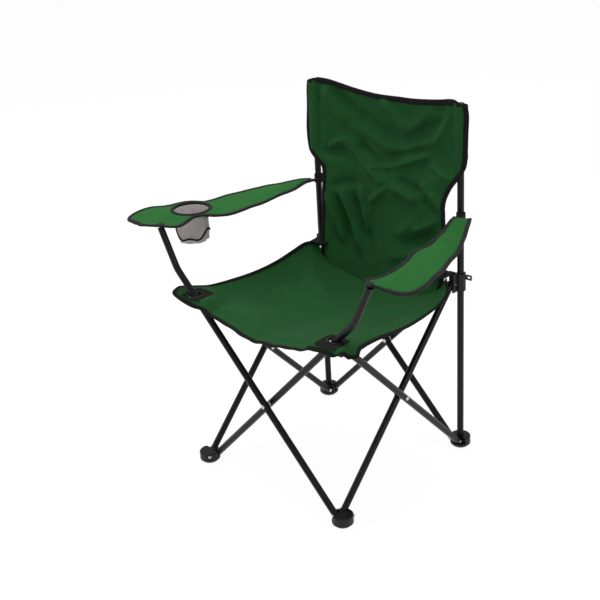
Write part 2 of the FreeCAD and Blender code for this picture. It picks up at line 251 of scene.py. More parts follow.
def cloud_group():
    """Slow unevenness, such as fading, and a finer mottling; both 0 to 1."""
    group, given, result = new_group(
        "unevenness", [("Vector", "NodeSocketVector", None), ("Scale", "NodeSocketFloat", 8.0)],
        [("Slow", "NodeSocketFloat"), ("Fine", "NodeSocketFloat")])
    slow = noise_node(group, given.outputs["Vector"], given.outputs["Scale"], 4.0, 0.55)
    finer = math_node(group, "MULTIPLY", given.outputs["Scale"], 12.0)
    fine = noise_node(group, given.outputs["Vector"], finer, 3.0, 0.6)
    group.links.new(slow, result.inputs["Slow"])
    group.links.new(fine, result.inputs["Fine"])
    return group


def wear_group():
    """Scuffs: sparse bright spots and short scratches, 0 to 1, and a fine grain height."""
    group, given, result = new_group(
        "wear", [("Vector", "NodeSocketVector", None), ("Amount", "NodeSocketFloat", 0.5)],
        [("Scuff", "NodeSocketFloat"), ("Grain", "NodeSocketFloat")])
    broad = noise_node(group, given.outputs["Vector"], 26.0, 5.0, 0.62)
    stretch = group.nodes.new("ShaderNodeMapping")
    stretch.inputs["Scale"].default_value = (1.0, 1.0, 0.12)
    group.links.new(given.outputs["Vector"], stretch.inputs["Vector"])
    scratch = noise_node(group, stretch.outputs[0], 480.0, 2.0, 0.5)
    both = math_node(group, "MULTIPLY", broad, scratch)
    edge = math_node(group, "SUBTRACT", both, 0.34)
    sharp = math_node(group, "MULTIPLY", edge, 14.0, clamp=True)
    group.links.new(math_node(group, "MULTIPLY", sharp, given.outputs["Amount"]), result.inputs["Scuff"])
    group.links.new(noise_node(group, given.outputs["Vector"], 900.0, 2.0, 0.6), result.inputs["Grain"])
    return group


WEAVE, UNEVEN, WEAR = weave_group(), cloud_group(), wear_group()
print("groups", [g.name for g in (WEAVE, UNEVEN, WEAR)])

# %% [markdown]
# ## Finishes
# The cloth is coated polyester: matte, a little sheen, a fine weave with painted shade between its threads,
# and slow fading. Tape is coarser and black. The tubes are powder coated: black, satin, with a fine
# orange-peel relief and scuffs. Plastic is moulded with a grain, rivets are plated steel.

# %% Material helpers


def base_material(name):
    """A material with just a Principled shader and its output."""
    material = bpy.data.materials.new(name)
    material.use_nodes = True
    tree = material.node_tree
    return material, tree, tree.nodes["Principled BSDF"]


def group_node(tree, group, vector, **values):
    """A node group placed in a material."""
    node = tree.nodes.new("ShaderNodeGroup")
    node.node_tree = group
    tree.links.new(vector, node.inputs["Vector"])
    for label, value in values.items():
        node.inputs[label].default_value = value
    return node


def mix_colours(tree, factor, a, b):
    """Colour a at 0, b at 1; a and b are colours or sockets."""
    node = tree.nodes.new("ShaderNodeMix")
    node.data_type = "RGBA"
    tree.links.new(factor, node.inputs["Factor"])
    for socket, value in ((node.inputs["A"], a), (node.inputs["B"], b)):
        if isinstance(value, tuple):
            socket.default_value = value + (1,)
        else:
            tree.links.new(value, socket)
    return node.outputs["Result"]


def range_of(tree, value, low, high):
    """A 0 to 1 value stretched to low..high."""
    node = tree.nodes.new("ShaderNodeMapRange")
    node.inputs["To Min"].default_value = low
    node.inputs["To Max"].default_value = high
    tree.links.new(value, node.inputs["Value"])
    return node.outputs["Result"]


def add_bump(tree, shader, height, strength, distance):
    """A bump from a height socket into the shader's normal."""
    node = tree.nodes.new("ShaderNodeBump")
    node.inputs["Strength"].default_value = strength
    node.inputs["Distance"].default_value = distance
    tree.links.new(height, node.inputs["Height"])
    tree.links.new(node.outputs["Normal"], shader.inputs["Normal"])


# %% Cloth finish


def cloth(name, colour, pitch=0.0009, relief=0.5, sheen=0.03, roughness=0.80):
    """Woven cloth whose pattern follows the piece's own UV map, in metres, with painted shade between the
    threads.
    """
    material, tree, shader = base_material(name)
    uv = tree.nodes.new("ShaderNodeUVMap")
    weave = group_node(tree, WEAVE, uv.outputs["UV"], Pitch=pitch)
    cloud = group_node(tree, UNEVEN, uv.outputs["UV"], Scale=7.0)
    dark = tuple(c * 0.78 for c in colour)
    light = tuple(min(1, c * 1.18) for c in colour)
    faded = mix_colours(tree, cloud.outputs["Slow"], dark, light)
    # Painted shade: threads masks the gaps between the threads, and there the colour is darkened towards
    # shade.
    threads = range_of(tree, weave.outputs["GapAndShade"], 0.0, 0.35)
    shade = tuple(c * 0.45 for c in colour)
    tree.links.new(mix_colours(tree, threads, faded, shade), shader.inputs["Base Color"])
    rough = range_of(tree, cloud.outputs["Fine"], roughness - 0.08, roughness + 0.1)
    tree.links.new(rough, shader.inputs["Roughness"])
    shader.inputs["Sheen Weight"].default_value = sheen
    shader.inputs["Sheen Roughness"].default_value = 0.45
    shader.inputs["Specular IOR Level"].default_value = 0.10
    add_bump(tree, shader, weave.outputs["Height"], relief, pitch * 0.35)
    return material


SEAT_GREEN = (0.0145, 0.0860, 0.0205)
# The back's green is the seat's green made a little darker: painted shade, for the upright back gets less
# light from above.
BACK_GREEN_SHADED = (0.0125, 0.0800, 0.0185)
ARM_GREEN = (0.0185, 0.1350, 0.0250)
TAPE_BLACK = (0.0085, 0.0080, 0.0088)
seat_cloth = cloth("seat_cloth", SEAT_GREEN)
# The back and its pockets take this darker green, which holds painted shade.
back_cloth_shaded = cloth("back_cloth_shaded", BACK_GREEN_SHADED)
arm_cloth = cloth("arm_cloth", ARM_GREEN)
tape_cloth = cloth("black_tape", TAPE_BLACK, pitch=0.0016, relief=0.8, sheen=0.02, roughness=0.7)
grey_tape = cloth("grey_tape", (0.020, 0.018, 0.020), pitch=0.0016, relief=0.8, sheen=0.04, roughness=0.7)
print("cloth finishes ready")

# %% Hard finishes


def hard(name, colour, roughness, metallic=0.0, wear=0.4, worn=(0.05, 0.05, 0.05), gloss=0.5, grain=0.00004):
    """Paint, plastic or plating with scuffs and a fine grain, on object coordinates."""
    material, tree, shader = base_material(name)
    where = tree.nodes.new("ShaderNodeTexCoord").outputs["Object"]
    scuff = group_node(tree, WEAR, where, Amount=wear)
    cloud = group_node(tree, UNEVEN, where, Scale=14.0)
    tree.links.new(mix_colours(tree, scuff.outputs["Scuff"], colour, worn), shader.inputs["Base Color"])
    tree.links.new(range_of(tree, cloud.outputs["Slow"], roughness - 0.07, roughness + 0.09),
                   shader.inputs["Roughness"])
    shader.inputs["Metallic"].default_value = metallic
    shader.inputs["Specular IOR Level"].default_value = gloss
    add_bump(tree, shader, scuff.outputs["Grain"], 0.6, grain)
    return material


tube_paint = hard("powder_coat", (0.0055, 0.0048, 0.0052), 0.34, gloss=0.22, worn=(0.03, 0.028, 0.03))
joint_plastic = hard("joint_plastic", (0.0065, 0.0065, 0.0075), 0.42, gloss=0.28, worn=(0.04, 0.04, 0.045),
                     grain=0.00009)
pull_plastic = hard("pull_plastic", (0.060, 0.060, 0.065), 0.5, worn=(0.12, 0.12, 0.12), grain=0.00009)
rivet_steel = hard("rivet_steel", (0.56, 0.56, 0.58), 0.28, metallic=1.0, worn=(0.3, 0.3, 0.32))
eyelet_steel = hard("eyelet_steel", (0.11, 0.11, 0.12), 0.38, metallic=1.0, worn=(0.12, 0.12, 0.13))
nylon_white = hard("nylon", (0.62, 0.61, 0.58), 0.45, wear=0.6, worn=(0.4, 0.39, 0.36))



def netting(name, colour):
    """Knitted mesh: see-through between its threads."""
    material, tree, shader = base_material(name)
    uv = tree.nodes.new("ShaderNodeUVMap")
    weave = group_node(tree, WEAVE, uv.outputs["UV"], Pitch=0.0022)
    cloud = group_node(tree, UNEVEN, uv.outputs["UV"], Scale=30.0)
    dark = tuple(c * 0.55 for c in colour)
    tree.links.new(mix_colours(tree, cloud.outputs["Slow"], dark, colour), shader.inputs["Base Color"])
    solid = math_node(tree, "SUBTRACT", 1.32, weave.outputs["GapAndShade"], clamp=True)
    tree.links.new(range_of(tree, solid, 0.30, 1.0), shader.inputs["Alpha"])
    shader.inputs["Roughness"].default_value = 0.7
    add_bump(tree, shader, weave.outputs["Height"], 0.6, 0.0005)
    return material


pouch_mesh = netting("pouch_mesh", (0.66, 0.61, 0.60))
FINISH_OF_SLOT = {"powder_coat": tube_paint, "black_plastic": joint_plastic, "rivet_steel": rivet_steel,
                  "eyelet_metal": eyelet_steel, "nylon": nylon_white, "black_webbing": tape_cloth,
                  "seat_fabric": seat_cloth, "back_fabric": back_cloth_shaded, "arm_fabric": arm_cloth}
slot_of = {part["node"]: part["material_slot"] for part in frame["record"]["subparts"]}
for node_name, node in frame["nodes"].items():
    finish = FINISH_OF_SLOT.get(slot_of[node_name], tape_cloth)
    if node_name.startswith("slider_pull"):
        finish = pull_plastic
    node.data.materials.clear()
    node.data.materials.append(finish)
print("finished", len(frame["nodes"]), "frame pieces")

# %% [markdown]
# ## How the cloth is made
# Each panel starts as a flat grid, like the cut cloth. Its four hems are drawn as smooth lines through a few
# points, the grid is hung between them, and folds are pressed in where the cloth is pulled. This keeps the
# hems exactly on the frame, which a cloth simulation would not, and it gives the same folds every time.

# %% Cloth helpers: smooth lines and a panel hung between four hems


def smooth_line(points, count):
    """A smooth line through the points, as count points at even steps along it."""
    pts = np.array(points, float)
    pts = np.vstack([2 * pts[0] - pts[1], pts, 2 * pts[-1] - pts[-2]])
    runs = []
    for a, b, c, d in zip(pts, pts[1:], pts[2:], pts[3:]):
        t = np.linspace(0, 1, 24, endpoint=False)[:, None]
        runs.append(0.5 * (2 * b + (c - a) * t + (2 * a - 5 * b + 4 * c - d) * t ** 2
                           + (3 * b - a - 3 * c + d) * t ** 3))
    line = np.vstack(runs + [pts[-2:-1]])
    length = np.concatenate([[0], np.cumsum(np.linalg.norm(np.diff(line, axis=0), axis=1))])
    even = np.linspace(0, length[-1], count)
    return np.stack([np.interp(even, length, line[:, k]) for k in range(3)], axis=1)


def ease(value, low, high):
    """0 below low, 1 above high, smooth between."""
    t = np.clip((value - low) / (high - low), 0, 1)
    return t * t * (3 - 2 * t)


def hung_grid(front, rear, left, right, across, along):
    """Places (along+1, across+1, 3) of a panel hung between four hems that share their corners."""
    s = np.linspace(0, 1, across + 1)[None, :, None]
    t = np.linspace(0, 1, along + 1)[:, None, None]
    f, r = smooth_line(front, across + 1)[None], smooth_line(rear, across + 1)[None]
    lft, rgt = smooth_line(left, along + 1)[:, None], smooth_line(right, along + 1)[:, None]
    corners = ((1 - s) * (1 - t) * f[:, :1] + s * (1 - t) * f[:, -1:]
               + (1 - s) * t * r[:, :1] + s * t * r[:, -1:])
    return (1 - t) * f + t * r + (1 - s) * lft + s * rgt - corners


def fold(a, b, start, end, width, height, sharp=1.0):
    """A pressed fold along a line on a plane: height over places (a, b), fading at its ends and sides."""
    (x0, y0), (x1, y1) = start, end
    length = math.hypot(x1 - x0, y1 - y0)
    dx, dy = (x1 - x0) / length, (y1 - y0) / length
    along = ((a - x0) * dx + (b - y0) * dy) / length
    off = -(a - x0) * dy + (b - y0) * dx
    ends = ease(along, -0.12, 0.22) * (1 - ease(along, 0.78, 1.12))
    return height * ends * np.exp(-np.abs(off / width) ** (2 / sharp))


def wrinkles(a, b, scale, height, seed):
    """Soft irregular unevenness from a fixed noise field."""
    flat = np.stack([a.ravel() * scale, b.ravel() * scale], axis=1)
    values = [noise.noise(Vector((x, y, seed))) for x, y in flat]
    return height * np.array(values).reshape(a.shape)


def arc_lengths(grid):
    """UV in metres: distances along the rows and along the columns of the grid."""
    u = np.zeros(grid.shape[:2])
    v = np.zeros(grid.shape[:2])
    u[:, 1:] = np.cumsum(np.linalg.norm(np.diff(grid, axis=1), axis=2), axis=1)
    v[1:] = np.cumsum(np.linalg.norm(np.diff(grid, axis=0), axis=2), axis=0)
    return u - u[:, u.shape[1] // 2][:, None], v


def cloth_piece(name, grid, finish, thickness=0.0007, drop=None):
    """A grid of places made a thin two-sided sheet, with UVs in metres; drop leaves out places."""
    rows, cols = grid.shape[:2]
    bpy.ops.object.select_all(action="DESELECT")
    bpy.ops.mesh.primitive_grid_add(x_subdivisions=cols - 1, y_subdivisions=rows - 1, size=1)
    piece = bpy.context.object
    piece.name = name
    mesh = piece.data
    flat = np.empty(len(mesh.vertices) * 3)
    mesh.vertices.foreach_get("co", flat)
    xy = flat.reshape(-1, 3)
    col = np.rint((xy[:, 0] + 0.5) * (cols - 1)).astype(int)
    row = np.rint((xy[:, 1] + 0.5) * (rows - 1)).astype(int)
    mesh.vertices.foreach_set("co", grid[row, col].ravel())
    u, v = arc_lengths(grid)
    corner = np.empty(len(mesh.loops), dtype=np.int32)
    mesh.loops.foreach_get("vertex_index", corner)
    layer = mesh.uv_layers[0]
    layer.name = "UVMap"
    uv = np.stack([u[row, col][corner], v[row, col][corner]], axis=1)
    layer.uv.foreach_set("vector", uv.ravel().astype(np.float32))
    if drop is not None:
        cut_places(piece, drop)
    modifier = piece.modifiers.new("thickness", "SOLIDIFY")
    modifier.thickness = thickness
    modifier.offset = 0
    bpy.ops.object.modifier_apply(modifier="thickness")
    bpy.ops.object.shade_smooth_by_angle(angle=math.radians(60))
    mesh.materials.clear()
    mesh.materials.append(finish)
    print(name, len(mesh.polygons), "faces")
    return piece


def cut_places(piece, inside):
    """Delete the faces whose middle is inside, a test on (x, y, z)."""
    bpy.ops.object.mode_set(mode="EDIT")
    bpy.ops.mesh.select_mode(type="FACE")
    bpy.ops.mesh.select_all(action="DESELECT")
    bpy.ops.object.mode_set(mode="OBJECT")
    for face in piece.data.polygons:
        face.select = bool(inside(*face.center))
    bpy.ops.object.mode_set(mode="EDIT")
    bpy.ops.mesh.delete(type="FACE")
    bpy.ops.object.mode_set(mode="OBJECT")


# %% Cloth helpers: tape folded over a hem


def tape_over(name, line, inward, width, thickness=0.0022, finish=None, closed=False):
    """Tape folded over a hem: a rounded strip along line, reaching inward from it.

    line is (n, 3); inward is (n, 3) unit vectors in the cloth, from the hem towards its middle.
    """
    line, inward = np.asarray(line, float), np.asarray(inward, float)
    step = np.gradient(line, axis=0)
    if closed:
        step = np.roll(line, -1, axis=0) - np.roll(line, 1, axis=0)
    along = step / np.linalg.norm(step, axis=1)[:, None]
    up = np.cross(along, inward)
    up /= np.linalg.norm(up, axis=1)[:, None]
    inward = np.cross(up, along)
    half = thickness / 2
    face = [(-half * 0.6, half * 1.5), (width * 0.12, half * 1.9), (width * 0.55, half * 1.5),
            (width * 0.92, half * 1.25), (width, half * 0.5)]        # one face of the tape, hem to inner edge
    section = [(-half * 1.2, 0)] + face + [(a, -b) for a, b in reversed(face)]
    bpy.ops.object.select_all(action="DESELECT")
    piece = bpy.data.objects.new(name, bpy.data.meshes.new(name))
    bpy.context.collection.objects.link(piece)
    places = np.concatenate([[line + a * inward + b * up] for a, b in section])      # (rings, n, 3)
    sweep(piece, places, closed)
    piece.data.materials.clear()
    piece.data.materials.append(finish or tape_cloth)
    print(name, len(line), "steps")
    return piece


def sweep(piece, places, closed):
    """Give the piece a tube of faces through places (around, steps, 3), with UVs in metres."""
    around, steps = places.shape[:2]
    faces, uvs = [], []
    runs = np.concatenate([[0], np.cumsum(np.linalg.norm(np.diff(places[0], axis=0), axis=1))])
    rim = np.linalg.norm(places[:, 0] - np.roll(places[:, 0], -1, axis=0), axis=1)
    girth = np.concatenate([[0], np.cumsum(rim)])
    last = steps if closed else steps - 1
    for j in range(last):
        k = (j + 1) % steps
        end = runs[k] if k else runs[-1] + 0.001
        for i in range(around):
            m = (i + 1) % around
            faces.append((i * steps + j, m * steps + j, m * steps + k, i * steps + k))
            uvs += [(girth[i], runs[j]), (girth[i + 1], runs[j]), (girth[i + 1], end), (girth[i], end)]
    if not closed:
        first = [i * steps for i in range(around)]
        final = [i * steps + steps - 1 for i in range(around)]
        faces += [tuple(reversed(first)), tuple(final)]
        uvs += [(0.0, 0.0)] * (2 * around)
    mesh = piece.data
    mesh.from_pydata(places.reshape(-1, 3).tolist(), [], faces)
    layer = mesh.uv_layers.new(name="UVMap")
    layer.uv.foreach_set("vector", np.array(uvs, np.float32).ravel())
    bpy.context.view_layer.objects.active = piece
    piece.select_set(True)
    bpy.ops.object.mode_set(mode="EDIT")
    bpy.ops.mesh.select_all(action="SELECT")
    bpy.ops.mesh.normals_make_consistent(inside=False)
    bpy.ops.object.mode_set(mode="OBJECT")
    bpy.ops.object.shade_smooth_by_angle(angle=math.radians(50))


def hem_of(grid, side, start=0, stop=None):
    """A hem's line and its inward directions, from a panel's grid; side is front, rear, left or right."""
    if side == "front":
        line, inner = grid[0], grid[2]
    elif side == "rear":
        line, inner = grid[-1], grid[-3]
    elif side == "left":
        line, inner = grid[:, 0], grid[:, 2]
    else:
        line, inner = grid[:, -1], grid[:, -3]
    inward = inner - line
    inward = inward / np.linalg.norm(inward, axis=1)[:, None]
    return line[start:stop], inward[start:stop]


print("cloth helpers ready")

# %% [markdown]
# ## Seat
# The seat is one piece of cloth held at its four corners, so its middle hangs low and its front hem dips. At
# the front its corners run on past the posts as tabs, and the posts come up through eyelets in black patches.
# The left hem stays up between the hubs, the right one has slipped outwards and lower.

# %% Seat panel
hub_left, hub_right = Vector((-0.2125, -0.2177, 0)), Vector((0.2125, -0.2177, 0))
SEAT_ON_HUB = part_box("seat_patch_left")[0].z + 0.0004
seat_front = [(-0.288, -0.226, 0.446), (-0.268, -0.247, 0.447), (-0.225, -0.2515, 0.438),
              (-0.179, -0.247, 0.429),
              (-0.130, -0.240, 0.417), (-0.078, -0.238, 0.404), (-0.020, -0.238, 0.394),
              (0.018, -0.240, 0.398),
              (0.063, -0.239, 0.406), (0.118, -0.242, 0.416), (0.165, -0.247, 0.430),
              (0.211, -0.2515, 0.438),
              (0.245, -0.246, 0.434), (0.264, -0.228, 0.419)]
seat_left = [(-0.288, -0.226, 0.446), (-0.290, -0.207, 0.448), (-0.266, -0.190, 0.449),
             (-0.240, -0.160, 0.447),
             (-0.226, -0.100, 0.445), (-0.214, -0.030, 0.446), (-0.210, 0.040, 0.451),
             (-0.214, 0.105, 0.458),
             (-0.217, 0.150, 0.463), (-0.207, 0.176, 0.4635)]
seat_right = [(0.264, -0.228, 0.419), (0.270, -0.205, 0.424), (0.260, -0.178, 0.434),
              (0.254, -0.120, 0.431),
              (0.254, -0.060, 0.425), (0.253, 0.000, 0.422), (0.252, 0.060, 0.426), (0.248, 0.110, 0.432),
              (0.240, 0.148, 0.446), (0.214, 0.176, 0.4635)]
seat_rear = [(-0.207, 0.176, 0.4635), (-0.185, 0.186, 0.440), (-0.120, 0.196, 0.410), (0.0, 0.200, 0.394),
             (0.120, 0.196, 0.408), (0.188, 0.186, 0.440), (0.214, 0.176, 0.4635)]


def shaped_seat():
    """The seat's grid with its corners laid flat on the hubs and its folds pressed in."""
    grid = hung_grid(seat_front, seat_rear, seat_left, seat_right, 120, 108)
    x, y = grid[..., 0], grid[..., 1]
    lift = np.zeros_like(x)
    lift += fold(x, y, (-0.190, -0.190), (-0.060, -0.020), 0.030, -0.004)
    lift += fold(x, y, (-0.175, -0.215), (-0.020, -0.150), 0.016, 0.004)
    lift += fold(x, y, (-0.150, -0.228), (0.030, -0.225), 0.012, 0.003)
    lift += fold(x, y, (0.190, -0.190), (0.080, -0.020), 0.030, -0.004)
    lift += fold(x, y, (0.215, -0.170), (0.190, 0.060), 0.018, 0.006)
    lift += fold(x, y, (0.190, -0.120), (0.160, 0.120), 0.020, -0.006)
    lift += fold(x, y, (-0.195, 0.120), (-0.060, 0.060), 0.022, 0.006)
    lift += fold(x, y, (-0.190, 0.150), (-0.130, 0.020), 0.012, -0.004)
    lift += fold(x, y, (-0.165, 0.060), (-0.140, -0.080), 0.014, -0.003)
    lift += fold(x, y, (0.200, 0.140), (0.060, 0.050), 0.022, 0.006)
    lift += wrinkles(x, y, 9, 0.0035, 3.1) + wrinkles(x, y, 26, 0.0012, 7.7)
    inner = ease(x, -0.21, -0.17) * (1 - ease(x, 0.20, 0.24))
    grid[..., 2] += lift * inner
    for hub in (hub_left, hub_right):
        near = 1 - ease(np.hypot(x - hub.x, y - hub.y), 0.034, 0.066)
        near = near * ease(y, -0.2500, -0.2400)
        grid[..., 2] = grid[..., 2] * (1 - near) + SEAT_ON_HUB * near
    hem = ease(y, -0.20, -0.236) * (1 - near_hubs(x, y, 0.05, 0.09))
    grid[..., 2] += 0.0020 * hem * np.sin(x * 95) * np.sin(x * 31 + 0.6)
    return grid


def near_hubs(x, y, close, far):
    """1 near either front hub, 0 away from both."""
    found = np.zeros_like(x)
    for hub in (hub_left, hub_right):
        found = np.maximum(found, 1 - ease(np.hypot(x - hub.x, y - hub.y), close, far))
    return found


def at_post(x, y, z):
    """True where a post comes up through the cloth."""
    return y < -0.15 and min(math.hypot(x - hub_left.x, y - hub_left.y),
                             math.hypot(x - hub_right.x, y - hub_right.y)) < POST_HOLE


POST_HOLE = 0.010
seat_grid = shaped_seat()
seat_rows = (0, 56, 108)          # the rows at which the panel is divided, so that it can follow the fold
seat_bodies = ("left_inner_tube", "left_outer_tube")
seat_names = ("seat_front", "seat_rear")
seat_parts, seat_hems = [], []
for name, first, last in zip(seat_names, seat_rows, seat_rows[1:]):
    part = cloth_piece(name, seat_grid[first:last + 1], seat_cloth, drop=at_post)
    hems = []
    if first == 0:
        hems.append(tape_over(name + "_hem_front", *hem_of(seat_grid, "front"), 0.0085))
    for side in ("left", "right"):
        line, inward = hem_of(seat_grid, side, first, last + 1)
        hems.append(tape_over(f"{name}_hem_{side}", line, inward, 0.0085))
    seat_parts.append(part)
    seat_hems.append(hems)

# %% [markdown]
# ## Back
# The back is a panel with a pocket down each side that slips over an upright. Below the pockets it narrows
# to pass between the uprights, and its foot is sewn across the back of the seat. It is cut slack, so folds
# fan out from the top corners and from where it narrows.

# %% Back panel
back_low = [(-0.176, 0.170, 0.408), (-0.140, 0.165, 0.396), (-0.100, 0.174, 0.394), (-0.045, 0.172, 0.384),
            (0.0, 0.164, 0.380), (0.060, 0.166, 0.382), (0.120, 0.170, 0.388), (0.165, 0.170, 0.404),
            (0.196, 0.174, 0.428)]
back_left = [(-0.176, 0.170, 0.408), (-0.186, 0.184, 0.455), (-0.197, 0.200, 0.500),
             (-0.196, 0.2045, 0.560),
             (-0.193, 0.206, 0.630), (-0.198, 0.208, 0.660), (-0.228, 0.2095, 0.683),
             (-0.246, 0.2185, 0.703),
             (-0.251, 0.221, 0.745), (-0.246, 0.221, 0.800), (-0.243, 0.221, 0.850), (-0.232, 0.220, 0.868),
             (-0.205, 0.219, 0.8765)]
back_right = [(0.196, 0.174, 0.428), (0.202, 0.188, 0.470), (0.199, 0.199, 0.520), (0.187, 0.2045, 0.580),
              (0.187, 0.206, 0.630), (0.201, 0.208, 0.665), (0.228, 0.2095, 0.702), (0.239, 0.2185, 0.725),
              (0.241, 0.221, 0.760), (0.242, 0.221, 0.800), (0.243, 0.221, 0.848), (0.236, 0.220, 0.866),
              (0.214, 0.219, 0.8755)]
back_top = [(-0.205, 0.219, 0.8765), (-0.170, 0.217, 0.8755), (-0.135, 0.216, 0.870),
            (-0.083, 0.215, 0.862),
            (-0.032, 0.215, 0.857), (0.029, 0.215, 0.858), (0.097, 0.215, 0.861), (0.160, 0.217, 0.868),
            (0.191, 0.218, 0.8735), (0.214, 0.219, 0.8755)]


def back_folds(x, z):
    """How far the folds stand towards the sitter, in metres, at (x, z)."""
    out = np.zeros_like(x)
    top = (                     # start, end, width, height
        ((-0.200, 0.862), (-0.118, 0.765), 0.013, 0.008), ((-0.165, 0.858), (-0.055, 0.790), 0.016, -0.009),
        ((-0.215, 0.840), (-0.185, 0.730), 0.010, 0.005), ((-0.120, 0.855), (-0.035, 0.775), 0.014, 0.006),
        ((-0.010, 0.848), (0.058, 0.776), 0.013, 0.009), ((0.058, 0.776), (0.165, 0.842), 0.014, 0.009),
        ((-0.075, 0.800), (0.040, 0.748), 0.014, -0.009), ((0.040, 0.748), (0.180, 0.830), 0.015, -0.009),
        ((-0.100, 0.770), (0.035, 0.722), 0.012, 0.006), ((0.035, 0.722), (0.160, 0.775), 0.014, 0.006),
        ((0.205, 0.855), (0.150, 0.760), 0.010, 0.007), ((0.180, 0.862), (0.110, 0.800), 0.010, -0.006))
    middle = (
        ((-0.060, 0.675), (0.022, 0.687), 0.007, 0.007), ((0.022, 0.687), (0.130, 0.733), 0.007, 0.009),
        ((-0.010, 0.702), (0.120, 0.748), 0.010, -0.008), ((-0.228, 0.700), (-0.180, 0.728), 0.007, 0.007),
        ((-0.180, 0.706), (-0.122, 0.738), 0.008, 0.008), ((-0.132, 0.740), (-0.085, 0.722), 0.008, 0.006),
        ((-0.215, 0.688), (-0.120, 0.705), 0.008, -0.006), ((-0.130, 0.735), (-0.050, 0.668), 0.010, 0.009),
        ((-0.095, 0.735), (0.000, 0.672), 0.008, -0.007), ((-0.050, 0.672), (0.002, 0.643), 0.006, 0.009),
        ((-0.170, 0.612), (-0.090, 0.632), 0.012, -0.008), ((0.130, 0.712), (0.190, 0.690), 0.008, 0.006))
    low = (
        ((0.015, 0.642), (0.098, 0.618), 0.012, 0.008), ((0.012, 0.640), (-0.050, 0.585), 0.010, 0.008),
        ((0.035, 0.660), (0.115, 0.645), 0.010, -0.007), ((-0.185, 0.588), (-0.118, 0.470), 0.008, 0.010),
        ((-0.160, 0.600), (-0.100, 0.480), 0.009, -0.008), ((-0.135, 0.605), (-0.062, 0.462), 0.009, 0.011),
        ((-0.105, 0.600), (-0.045, 0.480), 0.009, -0.009), ((-0.078, 0.622), (-0.042, 0.510), 0.008, 0.010),
        ((-0.045, 0.560), (-0.030, 0.440), 0.010, -0.005), ((0.110, 0.665), (0.150, 0.640), 0.008, 0.006),
        ((0.145, 0.645), (0.180, 0.612), 0.009, 0.007), ((0.120, 0.625), (0.165, 0.600), 0.009, -0.006),
        ((0.090, 0.540), (0.172, 0.588), 0.012, 0.008), ((0.070, 0.505), (0.165, 0.555), 0.014, -0.008),
        ((0.045, 0.520), (0.100, 0.575), 0.014, 0.005), ((0.030, 0.470), (0.140, 0.500), 0.014, 0.005))
    for start, end, width, height in top + middle + low:
        out += fold(x, z, start, end, width, height * FOLD_DEPTH, 1.25)
    seam = np.exp(-((x + 0.0175) / 0.0022) ** 2) * (1 - ease(z, 0.52, 0.545))
    return out - 0.0016 * seam + wrinkles(x, z, 14, 0.004, 1.3) + wrinkles(x, z, 38, 0.0013, 5.2)


FOLD_DEPTH = 1.45


def shaped_back():
    """The back's grid: pockets over the uprights, slack between them, and its folds."""
    grid = hung_grid(back_low, back_top, back_left, back_right, 132, 150)
    x, z = grid[..., 0], grid[..., 2]
    span = np.clip(1 - (x / 0.205) ** 2, 0, 1)
    slack = 0.016 * span * ease(z, 0.44, 0.60) * (1 - 0.35 * ease(z, 0.78, 0.86))
    over = np.exp(-((np.abs(x) - 0.2217) / 0.0160) ** 4) * ease(z, 0.665, 0.70)
    inside = ease(0.205 - np.abs(x), 0.0, 0.03) * ease(z, 0.415, 0.47) * (1 - ease(z, 0.845, 0.868))
    grid[..., 1] += slack - back_folds(x, z) * inside
    front = 0.2117 - 0.0009
    grid[..., 1] = grid[..., 1] * (1 - over) + np.minimum(grid[..., 1], front) * over
    groove = np.exp(-((np.abs(x) - 0.2045) / 0.0018) ** 2) * ease(z, 0.70, 0.72)
    grid[..., 1] += 0.0006 * groove
    return grid


back_grid = shaped_back()
back = cloth_piece("back", back_grid, back_cloth_shaded)
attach(back, "rear_left")
back_hems = []
for side in ("left", "right"):
    back_hems.append(tape_over("back_hem_" + side, *hem_of(back_grid, side), 0.0105, 0.0026))
back_hems.append(tape_over("back_hem_top", *hem_of(back_grid, "rear"), 0.0125, 0.0028))
print("back", back.name)


# %% [markdown]
# The pocket's back layer is a strip of the same cloth behind each upright, sewn to the front layer at its
# inner seam and at the taped hem. It is open at its foot, where the upright goes in.

# %% Pockets behind the uprights


def pocket(name, side):
    """The back layer of one pocket; side is -1 on the left and 1 on the right."""
    z = np.linspace(0.728 if side > 0 else 0.708, 0.866, 40)[:, None]
    w = np.linspace(0, 1, 23)[None, :]
    inner, outer = 0.2035, 0.2405 - 0.016 * (1 - ease(z, 0.700, 0.750))
    x = inner + (outer - inner) * w
    round_back = 0.0135 * np.sin(np.pi * w) ** 0.6
    y = 0.2165 + (0.2215 - 0.2165) * w + round_back + 0.0008 * np.sin(z * 120 + 7 * w)
    grid = np.stack([side * x + 0 * z, y + 0 * z, z + 0 * w], axis=-1)
    if side > 0:
        grid = grid[:, ::-1]
    piece = cloth_piece(name, grid, back_cloth_shaded)
    return piece


pockets = [pocket("back_pocket_left", -1), pocket("back_pocket_right", 1)]
print([piece.name for piece in pockets])

# %% [markdown]
# ## Arms
# Each arm is a strip of the brighter cloth with taped edges, from a cap on its post back to its upright. The
# left one is widest in front, where the cup ring is let in, and its tail is held by a webbing loop. Between
# its two holds it sags and its edges wave a little.

# %% Arm panels


def arm_grid(inner, outer, across=30, along=110, crown=0.0, wave=0.0016, phase=0.0):
    """A strip between an inner and an outer edge, with a little crown, waves and wrinkles."""
    a = smooth_line(inner, along + 1)[:, None]
    b = smooth_line(outer, along + 1)[:, None]
    s = np.linspace(0, 1, across + 1)[None, :, None]
    grid = a * (1 - s) + b * s
    t = np.linspace(0, 1, along + 1)[:, None]
    middle = np.sin(np.pi * s[..., 0])
    ends = ease(t, 0.0, 0.08) * (1 - ease(t, 0.94, 1.0))
    grid[..., 2] += crown * middle * ends
    near, far = np.sin(27 * t + phase), np.sin(33 * t + 1 + phase)
    grid[..., 2] += wave * ends * (near * (1 - s[..., 0]) + far * s[..., 0])
    grid[..., 2] += ends * wrinkles(grid[..., 0], grid[..., 1], 22, 0.0022, 2.2 + phase)
    return grid


